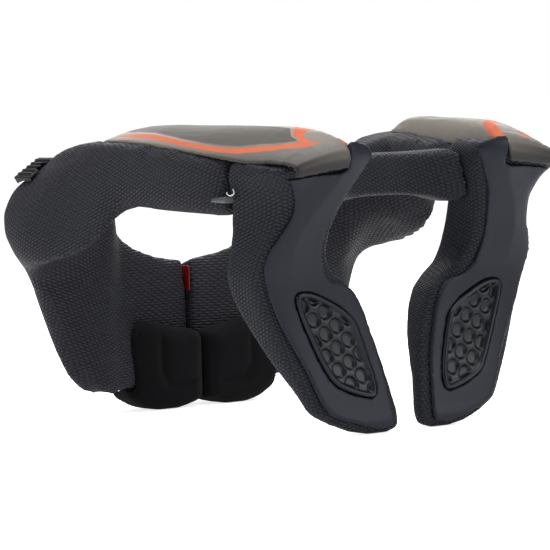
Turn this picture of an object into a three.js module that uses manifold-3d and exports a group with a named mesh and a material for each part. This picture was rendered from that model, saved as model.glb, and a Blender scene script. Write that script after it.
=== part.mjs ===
// Neck brace for riding: a padded collar in two halves, a back bridge, two back fins
// with plates and vents, two top shells, chest pads and small fittings.
// Millimetres, +Z up, x to the wearer's left, the fins at +Y and the front split at -Y.
import * as THREE from "three";
import { mergeVertices } from "three/addons/utils/BufferGeometryUtils.js";
import Module from "manifold-3d";

// Overall sizes
const BRACE_WIDTH = 310;
const BRACE_LENGTH = 300;
const BRACE_HEIGHT = 198;

// Fits and wall sizes
const FIT_GAP = 0.3;
const MERGE_REACH = 0.0001;
const SPLIT_GAP = 1.0;
const SHELL_GAP = 0.4;
const SHELL_THICKNESS = 2.6;
const PLATE_THICKNESS = 3.0;

// Vent set into the window of a fin plate, with a slanting grid of round hollows
const VENT_THICKNESS = 3.2;
const VENT_RIM_WIDTH = 3.4;
const VENT_RIM_RISE = 1.4;
const VENT_HOLLOW_RADIUS = 4.5;
const VENT_HOLLOW_DEPTH = 2.2;
const VENT_HOLLOW_SIDES = 6;
const VENT_GRID_PITCH = 10.2;
const VENT_GRID_REACH = 4;

// Chest pad
const PAD_EDGE_ROUND = 8;
const PAD_GROOVE_DEPTH = 3;

// Front latch in the split
const LATCH_WIDTH = 2.4;
const LATCH_HEIGHT = 17;
const LATCH_DEPTH = 9;

// Ribbed tab at the front end of each arm
const TAB_LENGTH = 24;
const TAB_WIDTH = 20;
const TAB_THICKNESS = 7;
const TAB_RIB_COUNT = 5;
const TAB_RIB_WIDTH = 1.6;
const TAB_RIB_HEIGHT = 1.2;
const TAB_TILT = 32;

// Slit between the arm's front end and the tab
const SLIT_WIDTH = 3;
const SLIT_DEPTH = 22;
const SLIT_HEIGHT = 15;

// Strap anchor beside each fin
const ANCHOR_SIDES = 8;
const ANCHOR_SQUARENESS = 0.6;

// Smoothness of the lofts
const COLLAR_AROUND = 20;
const COLLAR_STEPS = 2;
const FIN_AROUND = 16;
const BRIDGE_AROUND = 12;
const BRIDGE_STEPS = 2;
const SHELL_ACROSS = 9;

// Shape of the shell's fall, of the bridge section and reach of the cuts
const SHELL_FALL = 1.6;
const SHELL_FALL_WIDTH = 2;
const SHELL_CLEARANCE = 14;
const BRIDGE_SQUARENESS = 0.62;
const PLATE_FRONT_SHARE = 0.33;

const HALF_WIDTH = BRACE_WIDTH / 2;
const HALF_LENGTH = BRACE_LENGTH / 2;

// How far from the neck edge to the lip the crest of the collar lies
const CREST_SHARE = 0.36;

// The upright line the collar sections turn round, as a share of the length
const TURN_AXIS_Y = -0.033;

// One half of the collar, from inside the fin to the front split. Each row is a section:
// the way it faces in degrees, then radius and height of the neck edge, the lip, the belly,
// the hem and the under edge, and the rise of the crown between neck edge and lip
const COLLAR_ROWS = [
  {
    turn: 57.9, hemTurn: 57.9, neckR: 0.885, neckZ: 0.869, lipR: 1.004, lipZ: 0.864,
    bellyR: 1.01, bellyZ: 0.823, hemR: 0.997, hemZ: 0.788, underR: 0.891, underZ: 0.788, crown: 0.02,
  },
  {
    turn: 48.9, hemTurn: 47.9, neckR: 0.756, neckZ: 0.899, lipR: 1.032, lipZ: 0.884,
    bellyR: 1.031, bellyZ: 0.808, hemR: 1.005, hemZ: 0.722, underR: 0.775, underZ: 0.742, crown: 0.071,
  },
  {
    turn: 38.9, hemTurn: 38.9, neckR: 0.66, neckZ: 0.904, lipR: 1.009, lipZ: 0.902,
    bellyR: 1.006, bellyZ: 0.808, hemR: 0.98, hemZ: 0.715, underR: 0.68, underZ: 0.732, crown: 0.076,
  },
  {
    turn: 30.8, hemTurn: 30.8, neckR: 0.618, neckZ: 0.909, lipR: 0.963, lipZ: 0.912,
    bellyR: 0.963, bellyZ: 0.818, hemR: 0.94, hemZ: 0.72, underR: 0.638, underZ: 0.735, crown: 0.071,
  },
  {
    turn: 18.6, hemTurn: 18.6, neckR: 0.589, neckZ: 0.914, lipR: 0.896, lipZ: 0.937,
    bellyR: 0.903, bellyZ: 0.833, hemR: 0.883, hemZ: 0.727, underR: 0.615, underZ: 0.74, crown: 0.061,
  },
  {
    turn: 8.3, hemTurn: 8.3, neckR: 0.587, neckZ: 0.919, lipR: 0.872, lipZ: 0.944,
    bellyR: 0.881, bellyZ: 0.838, hemR: 0.865, hemZ: 0.735, underR: 0.62, underZ: 0.745, crown: 0.051,
  },
  {
    turn: 1, hemTurn: 1, neckR: 0.6, neckZ: 0.919, lipR: 0.868, lipZ: 0.947,
    bellyR: 0.881, bellyZ: 0.833, hemR: 0.871, hemZ: 0.732, underR: 0.639, underZ: 0.747, crown: 0.04,
  },
  {
    turn: -4.1, hemTurn: -4.1, neckR: 0.619, neckZ: 0.914, lipR: 0.874, lipZ: 0.947,
    bellyR: 0.897, bellyZ: 0.788, hemR: 0.897, hemZ: 0.646, underR: 0.807, underZ: 0.722, crown: 0.03,
  },
  {
    turn: -9.3, hemTurn: -9.3, neckR: 0.633, neckZ: 0.904, lipR: 0.885, lipZ: 0.944,
    bellyR: 0.917, bellyZ: 0.768, hemR: 0.923, hemZ: 0.593, underR: 0.833, underZ: 0.672, crown: 0.028,
  },
  {
    turn: -17.5, hemTurn: -17.5, neckR: 0.653, neckZ: 0.884, lipR: 0.909, lipZ: 0.939,
    bellyR: 0.977, bellyZ: 0.737, hemR: 1.003, hemZ: 0.556, underR: 0.809, underZ: 0.662, crown: 0.028,
  },
  {
    turn: -25.7, hemTurn: -24.7, neckR: 0.675, neckZ: 0.854, lipR: 0.948, lipZ: 0.927,
    bellyR: 1.103, bellyZ: 0.702, hemR: 1.083, hemZ: 0.533, underR: 0.811, underZ: 0.667, crown: 0.03,
  },
  {
    turn: -32.3, hemTurn: -31.8, neckR: 0.697, neckZ: 0.818, lipR: 0.986, lipZ: 0.909,
    bellyR: 1.198, bellyZ: 0.687, hemR: 1.126, hemZ: 0.523, underR: 0.846, underZ: 0.606, crown: 0.03,
  },
  {
    turn: -36.4, hemTurn: -35.9, neckR: 0.718, neckZ: 0.788, lipR: 1.129, lipZ: 0.828,
    bellyR: 1.233, bellyZ: 0.677, hemR: 1.115, hemZ: 0.495, underR: 0.894, underZ: 0.495, crown: 0.015,
  },
  {
    turn: -40.9, hemTurn: -37.9, neckR: 0.739, neckZ: 0.768, lipR: 1.145, lipZ: 0.803,
    bellyR: 1.19, bellyZ: 0.626, hemR: 1.058, hemZ: 0.374, underR: 0.888, underZ: 0.354, crown: 0.015,
  },
  {
    turn: -46.9, hemTurn: -40.4, neckR: 0.761, neckZ: 0.742, lipR: 1.103, lipZ: 0.778,
    bellyR: 1.12, bellyZ: 0.485, hemR: 0.987, hemZ: 0.157, underR: 0.811, underZ: 0.141, crown: 0.015,
  },
  {
    turn: -53.9, hemTurn: -47.4, neckR: 0.791, neckZ: 0.697, lipR: 1.028, lipZ: 0.732,
    bellyR: 1.029, bellyZ: 0.364, hemR: 0.919, hemZ: 0.091, underR: 0.768, underZ: 0.091, crown: 0.015,
  },
  {
    turn: -60.8, hemTurn: -55.9, neckR: 0.827, neckZ: 0.626, lipR: 0.992, lipZ: 0.626,
    bellyR: 0.991, bellyZ: 0.333, hemR: 0.884, hemZ: 0.106, underR: 0.739, underZ: 0.101, crown: 0.01,
  },
  {
    turn: -68.6, hemTurn: -65.7, neckR: 0.79, neckZ: 0.563, lipR: 0.962, lipZ: 0.525,
    bellyR: 0.968, bellyZ: 0.293, hemR: 0.902, hemZ: 0.076, underR: 0.756, underZ: 0.071, crown: 0.015,
  },
  {
    turn: -79.3, hemTurn: -78.4, neckR: 0.759, neckZ: 0.52, lipR: 0.932, lipZ: 0.48,
    bellyR: 0.949, bellyZ: 0.263, hemR: 0.912, hemZ: 0.056, underR: 0.739, underZ: 0.051, crown: 0.015,
  },
  {
    turn: -91, hemTurn: -91, neckR: 0.753, neckZ: 0.503, lipR: 0.92, lipZ: 0.46,
    bellyR: 0.937, bellyZ: 0.253, hemR: 0.907, hemZ: 0.051, underR: 0.733, underZ: 0.045, crown: 0.015,
  },
];

// One back fin by height: back and front depth, with inner and outer side of each face
const FIN_ROWS = [
  {
    z: 0, backY: 0.4, backInner: 0.097, backOuter: 0.226,
    frontY: 0.373, frontInner: 0.106, frontOuter: 0.239, corner: 0.7,
  },
  {
    z: 0.013, backY: 0.405, backInner: 0.058, backOuter: 0.297,
    frontY: 0.363, frontInner: 0.068, frontOuter: 0.31, corner: 0.45,
  },
  {
    z: 0.04, backY: 0.405, backInner: 0.048, backOuter: 0.387,
    frontY: 0.357, frontInner: 0.058, frontOuter: 0.4, corner: 0.38,
  },
  {
    z: 0.076, backY: 0.4, backInner: 0.055, backOuter: 0.468,
    frontY: 0.35, frontInner: 0.065, frontOuter: 0.484, corner: 0.34,
  },
  {
    z: 0.141, backY: 0.392, backInner: 0.071, backOuter: 0.516,
    frontY: 0.34, frontInner: 0.081, frontOuter: 0.529, corner: 0.32,
  },
  {
    z: 0.227, backY: 0.381, backInner: 0.092, backOuter: 0.577,
    frontY: 0.313, frontInner: 0.103, frontOuter: 0.594, corner: 0.32,
  },
  {
    z: 0.303, backY: 0.374, backInner: 0.118, backOuter: 0.619,
    frontY: 0.288, frontInner: 0.129, frontOuter: 0.639, corner: 0.32,
  },
  {
    z: 0.379, backY: 0.369, backInner: 0.155, backOuter: 0.658,
    frontY: 0.268, frontInner: 0.168, frontOuter: 0.684, corner: 0.32,
  },
  {
    z: 0.444, backY: 0.367, backInner: 0.194, backOuter: 0.694,
    frontY: 0.258, frontInner: 0.213, frontOuter: 0.719, corner: 0.32,
  },
  {
    z: 0.485, backY: 0.368, backInner: 0.245, backOuter: 0.713,
    frontY: 0.255, frontInner: 0.271, frontOuter: 0.735, corner: 0.32,
  },
  {
    z: 0.525, backY: 0.372, backInner: 0.329, backOuter: 0.723,
    frontY: 0.257, frontInner: 0.335, frontOuter: 0.748, corner: 0.32,
  },
  {
    z: 0.586, backY: 0.385, backInner: 0.371, backOuter: 0.71,
    frontY: 0.267, frontInner: 0.355, frontOuter: 0.748, corner: 0.34,
  },
  {
    z: 0.657, backY: 0.402, backInner: 0.374, backOuter: 0.671,
    frontY: 0.28, frontInner: 0.361, frontOuter: 0.755, corner: 0.34,
  },
  {
    z: 0.732, backY: 0.427, backInner: 0.348, backOuter: 0.639,
    frontY: 0.293, frontInner: 0.361, frontOuter: 0.774, corner: 0.34,
  },
  {
    z: 0.798, backY: 0.449, backInner: 0.31, backOuter: 0.677,
    frontY: 0.3, frontInner: 0.355, frontOuter: 0.794, corner: 0.34,
  },
  {
    z: 0.848, backY: 0.467, backInner: 0.281, backOuter: 0.768,
    frontY: 0.303, frontInner: 0.348, frontOuter: 0.797, corner: 0.32,
  },
  {
    z: 0.889, backY: 0.478, backInner: 0.258, backOuter: 0.755,
    frontY: 0.308, frontInner: 0.348, frontOuter: 0.784, corner: 0.34,
  },
  {
    z: 0.919, backY: 0.477, backInner: 0.271, backOuter: 0.697,
    frontY: 0.31, frontInner: 0.361, frontOuter: 0.742, corner: 0.4,
  },
  {
    z: 0.944, backY: 0.463, backInner: 0.316, backOuter: 0.632,
    frontY: 0.313, frontInner: 0.394, frontOuter: 0.684, corner: 0.46,
  },
  {
    z: 0.965, backY: 0.437, backInner: 0.374, backOuter: 0.581,
    frontY: 0.32, frontInner: 0.426, frontOuter: 0.626, corner: 0.5,
  },
  {
    z: 0.98, backY: 0.403, backInner: 0.426, backOuter: 0.535,
    frontY: 0.333, frontInner: 0.458, frontOuter: 0.581, corner: 0.6,
  },
];

// Outline of the plate on the back of a fin
const PLATE_OUTLINE = [
  { x: 0.284, z: 0.904 },
  { x: 0.326, z: 0.838 },
  { x: 0.374, z: 0.773 },
  { x: 0.4, z: 0.722 },
  { x: 0.426, z: 0.641 },
  { x: 0.423, z: 0.586 },
  { x: 0.394, z: 0.523 },
  { x: 0.348, z: 0.492 },
  { x: 0.287, z: 0.477 },
  { x: 0.242, z: 0.455 },
  { x: 0.2, z: 0.399 },
  { x: 0.165, z: 0.313 },
  { x: 0.134, z: 0.222 },
  { x: 0.116, z: 0.131 },
  { x: 0.106, z: 0.051 },
  { x: 0.123, z: 0.025 },
  { x: 0.194, z: 0.02 },
  { x: 0.303, z: 0.04 },
  { x: 0.394, z: 0.063 },
  { x: 0.435, z: 0.088 },
  { x: 0.471, z: 0.136 },
  { x: 0.516, z: 0.222 },
  { x: 0.587, z: 0.328 },
  { x: 0.632, z: 0.404 },
  { x: 0.668, z: 0.48 },
  { x: 0.69, z: 0.545 },
  { x: 0.677, z: 0.601 },
  { x: 0.639, z: 0.657 },
  { x: 0.61, z: 0.717 },
  { x: 0.619, z: 0.768 },
  { x: 0.665, z: 0.818 },
  { x: 0.681, z: 0.827 },
  { x: 0.548, z: 0.839 },
  { x: 0.423, z: 0.852 },
  { x: 0.413, z: 0.889 },
  { x: 0.41, z: 0.924 },
  { x: 0.348, z: 0.924 },
];

// Outline of the vent window in the plate
const WINDOW_OUTLINE = [
  { x: 0.532, z: 0.46 },
  { x: 0.458, z: 0.462 },
  { x: 0.348, z: 0.424 },
  { x: 0.281, z: 0.389 },
  { x: 0.242, z: 0.351 },
  { x: 0.21, z: 0.273 },
  { x: 0.181, z: 0.182 },
  { x: 0.179, z: 0.131 },
  { x: 0.206, z: 0.114 },
  { x: 0.29, z: 0.129 },
  { x: 0.374, z: 0.159 },
  { x: 0.419, z: 0.202 },
  { x: 0.477, z: 0.298 },
  { x: 0.532, z: 0.409 },
];

// Top shell by depth: side and height of its inner edge, its crest and its outer edge
const SHELL_ROWS = [
  {
    y: -0.137, innerX: 0.761, innerZ: 0.947,
    crestX: 0.774, crestZ: 0.952, outerX: 0.786, outerZ: 0.949,
  },
  {
    y: -0.11, innerX: 0.726, innerZ: 0.944,
    crestX: 0.761, crestZ: 0.962, outerX: 0.81, outerZ: 0.949,
  },
  {
    y: -0.067, innerX: 0.684, innerZ: 0.942,
    crestX: 0.729, crestZ: 0.982, outerX: 0.829, outerZ: 0.949,
  },
  {
    y: -0.017, innerX: 0.655, innerZ: 0.934,
    crestX: 0.694, crestZ: 0.995, outerX: 0.839, outerZ: 0.949,
  },
  {
    y: 0.05, innerX: 0.619, innerZ: 0.924,
    crestX: 0.665, crestZ: 0.999, outerX: 0.842, outerZ: 0.944,
  },
  {
    y: 0.127, innerX: 0.574, innerZ: 0.914,
    crestX: 0.623, crestZ: 0.996, outerX: 0.835, outerZ: 0.934,
  },
  {
    y: 0.207, innerX: 0.529, innerZ: 0.909,
    crestX: 0.587, crestZ: 0.994, outerX: 0.819, outerZ: 0.917,
  },
  {
    y: 0.283, innerX: 0.49, innerZ: 0.909,
    crestX: 0.552, crestZ: 0.991, outerX: 0.795, outerZ: 0.901,
  },
  {
    y: 0.36, innerX: 0.445, innerZ: 0.914,
    crestX: 0.506, crestZ: 0.986, outerX: 0.774, outerZ: 0.885,
  },
  {
    y: 0.417, innerX: 0.406, innerZ: 0.909,
    crestX: 0.468, crestZ: 0.972, outerX: 0.758, outerZ: 0.874,
  },
  {
    y: 0.457, innerX: 0.371, innerZ: 0.899,
    crestX: 0.432, crestZ: 0.947, outerX: 0.745, outerZ: 0.866,
  },
  {
    y: 0.483, innerX: 0.345, innerZ: 0.881,
    crestX: 0.406, crestZ: 0.917, outerX: 0.739, outerZ: 0.859,
  },
  {
    y: 0.492, innerX: 0.348, innerZ: 0.856,
    crestX: 0.403, crestZ: 0.888, outerX: 0.723, outerZ: 0.844,
  },
  {
    y: 0.489, innerX: 0.361, innerZ: 0.836,
    crestX: 0.413, crestZ: 0.856, outerX: 0.69, outerZ: 0.828,
  },
];

// Back bridge by side: middle of the section, its depth and height, the dent at the back
// and the lean of the section
const BRIDGE_ROWS = [
  { x: 0, y: 0.31, z: 0.823, depth: 0.087, height: 0.139, dent: 0.013, lean: 0.003 },
  { x: 0.116, y: 0.313, z: 0.822, depth: 0.092, height: 0.141, dent: 0.017, lean: 0.007 },
  { x: 0.219, y: 0.323, z: 0.818, depth: 0.107, height: 0.157, dent: 0.02, lean: 0.013 },
  { x: 0.297, y: 0.34, z: 0.813, depth: 0.14, height: 0.177, dent: 0.02, lean: 0.023 },
  { x: 0.348, y: 0.357, z: 0.813, depth: 0.167, height: 0.192, dent: 0.013, lean: 0.03 },
  { x: 0.4, y: 0.367, z: 0.813, depth: 0.16, height: 0.192, dent: 0, lean: 0.03 },
];

// Outline of a chest pad and of the groove in its face
const PAD_OUTLINE = [
  { x: 0.006, z: 0.258 },
  { x: 0.058, z: 0.276 },
  { x: 0.135, z: 0.283 },
  { x: 0.226, z: 0.302 },
  { x: 0.297, z: 0.316 },
  { x: 0.361, z: 0.306 },
  { x: 0.416, z: 0.268 },
  { x: 0.452, z: 0.212 },
  { x: 0.458, z: 0.157 },
  { x: 0.432, z: 0.091 },
  { x: 0.381, z: 0.043 },
  { x: 0.31, z: 0.013 },
  { x: 0.245, z: 0 },
  { x: 0.129, z: 0 },
  { x: 0.058, z: 0.013 },
  { x: 0.006, z: 0.03 },
];
const PAD_GROOVE_OUTLINE = [
  { x: 0.265, z: 0.268 },
  { x: 0.265, z: 0.136 },
  { x: 0.226, z: 0.078 },
  { x: 0.065, z: 0.073 },
  { x: 0.065, z: 0.101 },
  { x: 0.2, z: 0.109 },
  { x: 0.229, z: 0.146 },
  { x: 0.229, z: 0.268 },
];

// Chest pad by depth, as a share of the length, with the inset of its outline
const PAD_ROWS = [
  { y: -0.44, inset: 0 },
  { y: -0.367, inset: 0 },
  { y: -0.35, inset: 0.35 },
  { y: -0.34, inset: 1.1 },
];

// Strap anchor by depth: side, height and size of its section
const ANCHOR_ROWS = [
  { y: 0.277, x: 0.803, z: 0.761, thick: 0.019, tall: 0.005 },
  { y: 0.29, x: 0.801, z: 0.763, thick: 0.039, tall: 0.015 },
  { y: 0.313, x: 0.794, z: 0.764, thick: 0.052, tall: 0.021 },
  { y: 0.328, x: 0.789, z: 0.765, thick: 0.052, tall: 0.022 },
];

// Two directions of the vent's grid, as shares of its pitch
const VENT_GRID_DOWN = { x: -0.81, z: -0.91 };
const VENT_GRID_ACROSS = { x: 0.88, z: -0.46 };

// Middles of the small parts, as shares of half the width, the length and the height
const VENT_GRID_MIDDLE = { x: 0.348, z: 0.281 };
const LATCH_MIDDLE = { y: -0.4235, z: 0.449 };
const TAB_MIDDLE = { x: 0.868, y: -0.345, z: 0.85 };
const SLIT_MIDDLE = { x: 0.826, y: -0.319, z: 0.805 };

const wasm = await Module();
wasm.setup();

// Smooth value from b to c that also follows its neighbours a and d
function between(a, b, c, d, t) {
  const pull = 0.5 * (c - a);
  const push = 0.5 * (d - b);
  const t2 = t * t;
  const t3 = t2 * t;
  return b * (2 * t3 - 3 * t2 + 1) + pull * (t3 - 2 * t2 + t)
    + c * (3 * t2 - 2 * t3) + push * (t3 - t2);
}

// Rows with named columns, filled in with the given number of steps per row
function refineRows(rows, steps) {
  const last = rows.length - 1;
  const fine = [];
  for (let i = 0; i < last; i += 1) {
    for (let k = 0; k < steps; k += 1) {
      const row = {};
      for (const name of Object.keys(rows[i])) {
        row[name] = between(
          rows[Math.max(i - 1, 0)][name],
          rows[i][name],
          rows[i + 1][name],
          rows[Math.min(i + 2, last)][name],
          k / steps,
        );
      }
      fine.push(row);
    }
  }
  fine.push(rows[last]);
  return fine;
}

// Closed smooth ring through a few corner points
function smoothRing(corners, count) {
  const total = corners.length;
  const ring = [];
  for (let i = 0; i < count; i += 1) {
    const place = (i / count) * total;
    const k = Math.floor(place);
    const [a, b, c, d] = [k + total - 1, k, k + 1, k + 2].map((n) => corners[n % total]);
    ring.push(b.map((value, axis) => between(a[axis], value, c[axis], d[axis], place - k)));
  }
  return ring;
}

// Points of a rounded square between -1 and 1, squarer as squareness falls
function roundedSquare(count, squareness) {
  const bend = (value) => Math.sign(value) * Math.abs(value) ** squareness;
  const ring = [];
  for (let i = 0; i < count; i += 1) {
    const angle = ((i + 0.5) / count) * 2 * Math.PI;
    ring.push([bend(Math.cos(angle)), bend(Math.sin(angle))]);
  }
  return ring;
}

// Closed solid from rings of equal count, each end closed round its middle point
function loft(rings) {
  const around = rings[0].length;
  const last = (rings.length - 1) * around;
  const points = rings.flat();
  const faces = [];
  for (let a = 0; a < last; a += 1) {
    const next = (a + 1) % around === 0 ? a + 1 - around : a + 1;
    faces.push([a, next, next + around], [a, next + around, a + around]);
  }
  for (const first of [0, last]) {
    const ring = points.slice(first, first + around);
    const middle = [0, 1, 2].map((axis) => ring.reduce((sum, p) => sum + p[axis], 0) / around);
    const hub = points.push(middle) - 1;
    for (let k = 0; k < around; k += 1) {
      const a = first + k;
      const b = first + ((k + 1) % around);
      faces.push(first === 0 ? [b, a, hub] : [a, b, hub]);
    }
  }
  return facingOut({ points, faces });
}

function facingOut(solid) {
  let volume = 0;
  for (const face of solid.faces) {
    const [a, b, c] = face.map((index) => new THREE.Vector3(...solid.points[index]));
    volume += a.dot(b.cross(c));
  }
  if (volume > 0) return solid;
  return { points: solid.points, faces: solid.faces.map(([a, b, c]) => [a, c, b]) };
}

// Outward direction at every point of a solid
function outwardAt(solid) {
  const outward = solid.points.map(() => new THREE.Vector3());
  for (const face of solid.faces) {
    const [a, b, c] = face.map((index) => new THREE.Vector3(...solid.points[index]));
    const normal = b.sub(a).cross(c.sub(a));
    for (const index of face) outward[index].add(normal);
  }
  return outward.map((out) => out.normalize());
}

// The same solid with its skin moved outward by the given distance
function grown(solid, distance) {
  const outward = outwardAt(solid);
  const points = solid.points.map((point, index) => {
    const step = outward[index].multiplyScalar(distance);
    return [point[0] + step.x, point[1] + step.y, point[2] + step.z];
  });
  return { points, faces: solid.faces };
}

// Curved sheet over a grid of points, reaching from one depth under the grid to another
function sheet(grid, under, over) {
  const rows = grid.length;
  const columns = grid[0].length;
  const at = (i, j) => grid[Math.min(Math.max(i, 0), rows - 1)][Math.min(Math.max(j, 0), columns - 1)];
  const lifted = (i, j, distance) => {
    const along = at(i + 1, j).clone().sub(at(i - 1, j));
    const across = at(i, j + 1).clone().sub(at(i, j - 1));
    return at(i, j).clone().addScaledVector(across.cross(along).normalize(), distance).toArray();
  };
  const rings = grid.map((row, i) => [
    ...row.map((point, j) => lifted(i, j, over)),
    ...row.map((point, j) => lifted(i, j, under)).reverse(),
  ]);
  return loft(rings);
}

function toManifold(solid) {
  return new wasm.Manifold(new wasm.Mesh({
    numProp: 3,
    vertProperties: new Float32Array(solid.points.flat()),
    triVerts: new Uint32Array(solid.faces.flat()),
  }));
}

// The same body on the other side of the brace
function otherSide(manifold) {
  const mesh = manifold.getMesh();
  const numbers = Array.from(mesh.vertProperties, (value, index) => (index % 3 ? value : -value));
  return new wasm.Manifold(new wasm.Mesh({
    numProp: 3,
    vertProperties: new Float32Array(numbers),
    triVerts: new Uint32Array(mesh.triVerts).reverse(),
  }));
}

function fromGeometry(geometry) {
  geometry.deleteAttribute("normal");
  geometry.deleteAttribute("uv");
  const merged = mergeVertices(geometry, MERGE_REACH);
  return new wasm.Manifold(new wasm.Mesh({
    numProp: 3,
    vertProperties: new Float32Array(merged.attributes.position.array),
    triVerts: new Uint32Array(merged.index.array),
  }));
}

// Straight prism over an outline in x and z, from the front to the back depth
function levelPrism(outline, front, back) {
  const shape = new THREE.Shape(outline.map(([x, z]) => new THREE.Vector2(x, z)));
  const geometry = new THREE.ExtrudeGeometry(shape, { depth: back - front, bevelEnabled: false });
  return fromGeometry(geometry.rotateX(Math.PI / 2).translate(0, back, 0));
}

// Block of the given size, tilted outward by an angle in degrees, round a middle point
function block(size, tilt, middle) {
  const geometry = new THREE.BoxGeometry(...size);
  geometry.rotateY(THREE.MathUtils.degToRad(tilt));
  return fromGeometry(geometry.translate(...middle));
}

// Outline moved inward by a distance, or outward when the distance is negative
function insetOutline(outline, distance) {
  const turn = Math.sign(THREE.ShapeUtils.area(outline.map(([x, y]) => ({ x, y }))));
  return outline.map((point, i) => {
    const before = outline[(i + outline.length - 1) % outline.length];
    const after = outline[(i + 1) % outline.length];
    const along = new THREE.Vector2(after[0] - before[0], after[1] - before[1]).normalize();
    return [point[0] - along.y * distance * turn, point[1] + along.x * distance * turn];
  });
}

function insideOutline([x, z], outline) {
  let inside = false;
  outline.forEach(([ax, az], i) => {
    const [bx, bz] = outline[(i + 1) % outline.length];
    const crosses = az > z !== bz > z;
    if (crosses && x < ax + ((bx - ax) * (z - az)) / (bz - az)) inside = !inside;
  });
  return inside;
}

function largest(manifold) {
  return manifold.decompose().reduce((a, b) => (b.volume() > a.volume() ? b : a));
}

const flatOutline = (rows) => rows.map(({ x, z }) => [HALF_WIDTH * x, BRACE_HEIGHT * z]);
const placed = ({ x = 0, y, z }) => [HALF_WIDTH * x, BRACE_LENGTH * y, BRACE_HEIGHT * z];

// Collar half
function collarRing(row) {
  const place = (turn, radius, height) => {
    const angle = THREE.MathUtils.degToRad(turn);
    return [
      HALF_WIDTH * radius * Math.cos(angle),
      BRACE_LENGTH * TURN_AXIS_Y + HALF_LENGTH * radius * Math.sin(angle),
      BRACE_HEIGHT * height,
    ];
  };
  const part = (a, b, share) => a + (b - a) * share;
  const bellyTurn = part(row.turn, row.hemTurn, 0.5);
  const crestZ = part(row.neckZ, row.lipZ, CREST_SHARE) + row.crown;
  const corners = [
    place(row.turn, row.neckR, row.neckZ),
    place(row.turn, part(row.neckR, row.lipR, CREST_SHARE), crestZ),
    place(row.turn, row.lipR, row.lipZ),
    place(bellyTurn, row.bellyR, row.bellyZ),
    place(row.hemTurn, row.hemR, row.hemZ),
    place(row.hemTurn, part(row.hemR, row.underR, 0.5), part(row.hemZ, row.underZ, 0.5)),
    place(row.hemTurn, row.underR, row.underZ),
    place(bellyTurn, part(row.underR, row.neckR, 0.5), part(row.underZ, row.neckZ, 0.5)),
  ];
  return smoothRing(corners, COLLAR_AROUND);
}

// Fin
function finRing(row) {
  return roundedSquare(FIN_AROUND, row.corner).map(([u, v]) => {
    const share = (v + 1) / 2;
    const inner = row.frontInner + (row.backInner - row.frontInner) * share;
    const outer = row.frontOuter + (row.backOuter - row.frontOuter) * share;
    return [
      HALF_WIDTH * (inner + ((outer - inner) * (u + 1)) / 2),
      BRACE_LENGTH * (row.frontY + (row.backY - row.frontY) * share),
      BRACE_HEIGHT * row.z,
    ];
  });
}

// Bridge
function bridgeRing(row) {
  return roundedSquare(BRIDGE_AROUND, BRIDGE_SQUARENESS).map(([u, v]) => {
    const dent = u > 0 ? row.dent * (1 - v * v) : 0;
    return [
      HALF_WIDTH * row.x,
      BRACE_LENGTH * (row.y + (u * row.depth) / 2 - dent + v * row.lean),
      BRACE_HEIGHT * (row.z + (v * row.height) / 2),
    ];
  });
}

// Top shell, rising from its inner edge to the crest and falling gently to its outer edge
function shellLine(row) {
  const line = [];
  for (let j = 0; j < SHELL_ACROSS; j += 1) {
    const place = (j / (SHELL_ACROSS - 1)) * (1 + SHELL_FALL_WIDTH) - 1;
    const rise = Math.min(place, 0);
    const fall = Math.max(place, 0) / SHELL_FALL_WIDTH;
    const x = row.crestX + rise * (row.crestX - row.innerX) + fall * (row.outerX - row.crestX);
    const z = row.crestZ - rise * rise * (row.crestZ - row.innerZ)
      - fall ** SHELL_FALL * (row.crestZ - row.outerZ);
    line.push(new THREE.Vector3(HALF_WIDTH * x, BRACE_LENGTH * row.y, BRACE_HEIGHT * z));
  }
  return line;
}

const collarCore = loft(refineRows(COLLAR_ROWS, COLLAR_STEPS).map(collarRing));
const finCore = loft(FIN_ROWS.map(finRing));
const halfBridge = refineRows(BRIDGE_ROWS, BRIDGE_STEPS);
const otherHalf = halfBridge.slice(1).reverse().map((row) => ({ ...row, x: -row.x }));
const bridgeCore = loft([...otherHalf, ...halfBridge].map(bridgeRing));

// Shell and the seat it leaves in the foam under it
const shellGrid = SHELL_ROWS.map(shellLine);
const shellSheet = sheet(shellGrid, -SHELL_THICKNESS, 0);
const fullShell = toManifold(shellSheet);
const shellSpace = sheet(shellGrid, -SHELL_THICKNESS - SHELL_GAP, SHELL_CLEARANCE);
const shellSeat = toManifold(grown(shellSpace, SHELL_GAP));

// Fin, its plate and its vent
const fin = toManifold(finCore).subtract(shellSeat);
const finSeat = toManifold(grown(finCore, FIT_GAP));
const PLATE_FRONT = BRACE_LENGTH * PLATE_FRONT_SHARE;
const PLATE_BACK = BRACE_LENGTH;
const skin = (from, to) => toManifold(grown(finCore, to)).subtract(toManifold(grown(finCore, from)));
const plateOutline = flatOutline(PLATE_OUTLINE);
const windowOutline = flatOutline(WINDOW_OUTLINE);
const plate = largest(skin(FIT_GAP, FIT_GAP + PLATE_THICKNESS)
  .intersect(levelPrism(plateOutline, PLATE_FRONT, PLATE_BACK))
  .subtract(levelPrism(windowOutline, PLATE_FRONT, PLATE_BACK)));

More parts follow.
